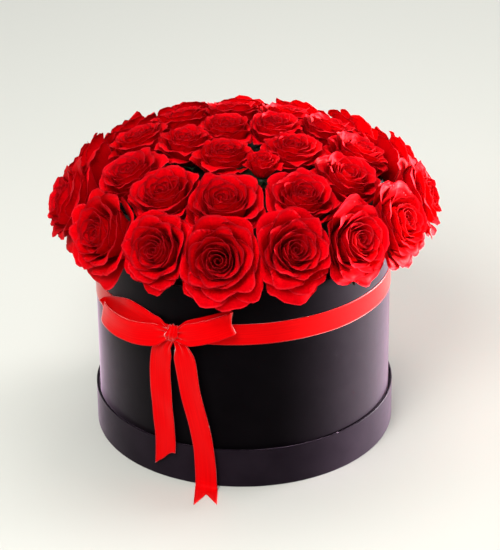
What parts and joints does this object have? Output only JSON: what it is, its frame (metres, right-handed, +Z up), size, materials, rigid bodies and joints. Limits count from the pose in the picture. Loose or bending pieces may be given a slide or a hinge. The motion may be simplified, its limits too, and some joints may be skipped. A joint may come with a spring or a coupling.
{
  "type": "flower box",
  "caption": "Round covered hat box standing in its own upturned lid, tied with a satin ribbon bow and filled with a dome of cut roses in wet foam.",
  "frame": {"origin": "centre of the underside of the lid, where it stands on the table, on the box's own axis", "axes": "+Z up along the box's axis, -Y towards the front, where the bow is a little to the left, +X to the right"},
  "size_m": [0.3166, 0.3115, 0.2629],
  "materials": {
    "lid_board": "satin black covering paper over grey board",
    "box_board": "satin black covering paper over grey board",
    "ribbon_satin": "glossy satin weave",
    "rose": "velvety red petals",
    "liner_film": "thin formed black film",
    "wet_foam": "fine open-cell foam, soaked"
  },
  "bodies": {
    "lid_tray": {"lid_rim": "lid_board", "lid_panel": "lid_board"},
    "box": {"box_wall": "box_board", "box_bottom": "box_board", "ribbon_band": "ribbon_satin", "bow_knot": "ribbon_satin", "bow_loop_left": "ribbon_satin", "bow_loop_right": "ribbon_satin", "tail_short": "ribbon_satin", "tail_long": "ribbon_satin"},
    "arrangement": {"waterproof_liner": "liner_film", "foam_lower": "wet_foam", "foam_upper": "wet_foam", "rose_outer_01": "rose", "rose_outer_02": "rose", "rose_outer_03": "rose", "rose_outer_04": "rose", "rose_outer_05": "rose", "rose_outer_06": "rose", "rose_outer_07": "rose", "rose_outer_08": "rose", "rose_outer_09": "rose", "rose_outer_10": "rose", "rose_outer_11": "rose", "rose_outer_12": "rose", "rose_outer_13": "rose", "rose_outer_14": "rose", "rose_outer_15": "rose", "rose_middle_01": "rose", "rose_middle_02": "rose", "rose_middle_03": "rose", "rose_middle_04": "rose", "rose_middle_05": "rose", "rose_middle_06": "rose", "rose_middle_07": "rose", "rose_middle_08": "rose", "rose_middle_09": "rose", "rose_middle_10": "rose", "rose_middle_11": "rose", "rose_crown_01": "rose", "rose_crown_02": "rose", "rose_crown_03": "rose", "rose_crown_04": "rose", "rose_crown_05": "rose", "rose_crown_06": "rose"}
  },
  "joints": [
    {"name": "box_lift", "type": "slide", "parent": "lid_tray", "child": "box", "axis": [0, 0, 1], "range_m": [0, 0.045]},
    {"name": "arrangement_lift", "type": "slide", "parent": "box", "child": "arrangement", "axis": [0, 0, 1], "range_m": [0, 0.18]}
  ]
}
